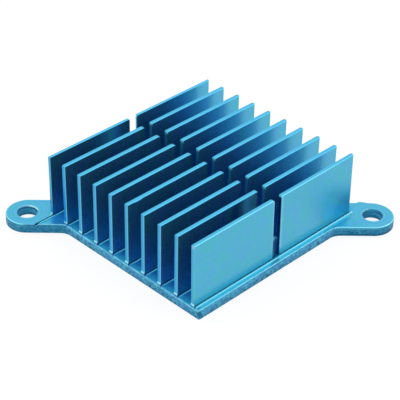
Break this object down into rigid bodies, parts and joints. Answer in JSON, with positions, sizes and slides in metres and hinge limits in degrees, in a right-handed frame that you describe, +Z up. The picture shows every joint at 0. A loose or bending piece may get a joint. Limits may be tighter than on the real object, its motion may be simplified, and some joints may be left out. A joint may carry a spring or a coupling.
{
  "type": "heat sink",
  "caption": "Skived aluminium heat sink: a square plate with upright fins split by one slot, and a screw ear at two opposite corners.",
  "frame": {"origin": "centre of the plate's underside, halfway between the two screw holes", "axes": "+X across the fins, +Y along the fins, +Z up out of the plate; the ears reach out of the +X +Y and -X -Y corners"},
  "size_m": [0.0488, 0.0494, 0.0136],
  "materials": {
    "anodised_aluminium": "satin blue anodised"
  },
  "bodies": {
    "root": {"heat_sink": "anodised_aluminium"}
  },
  "joints": []
}
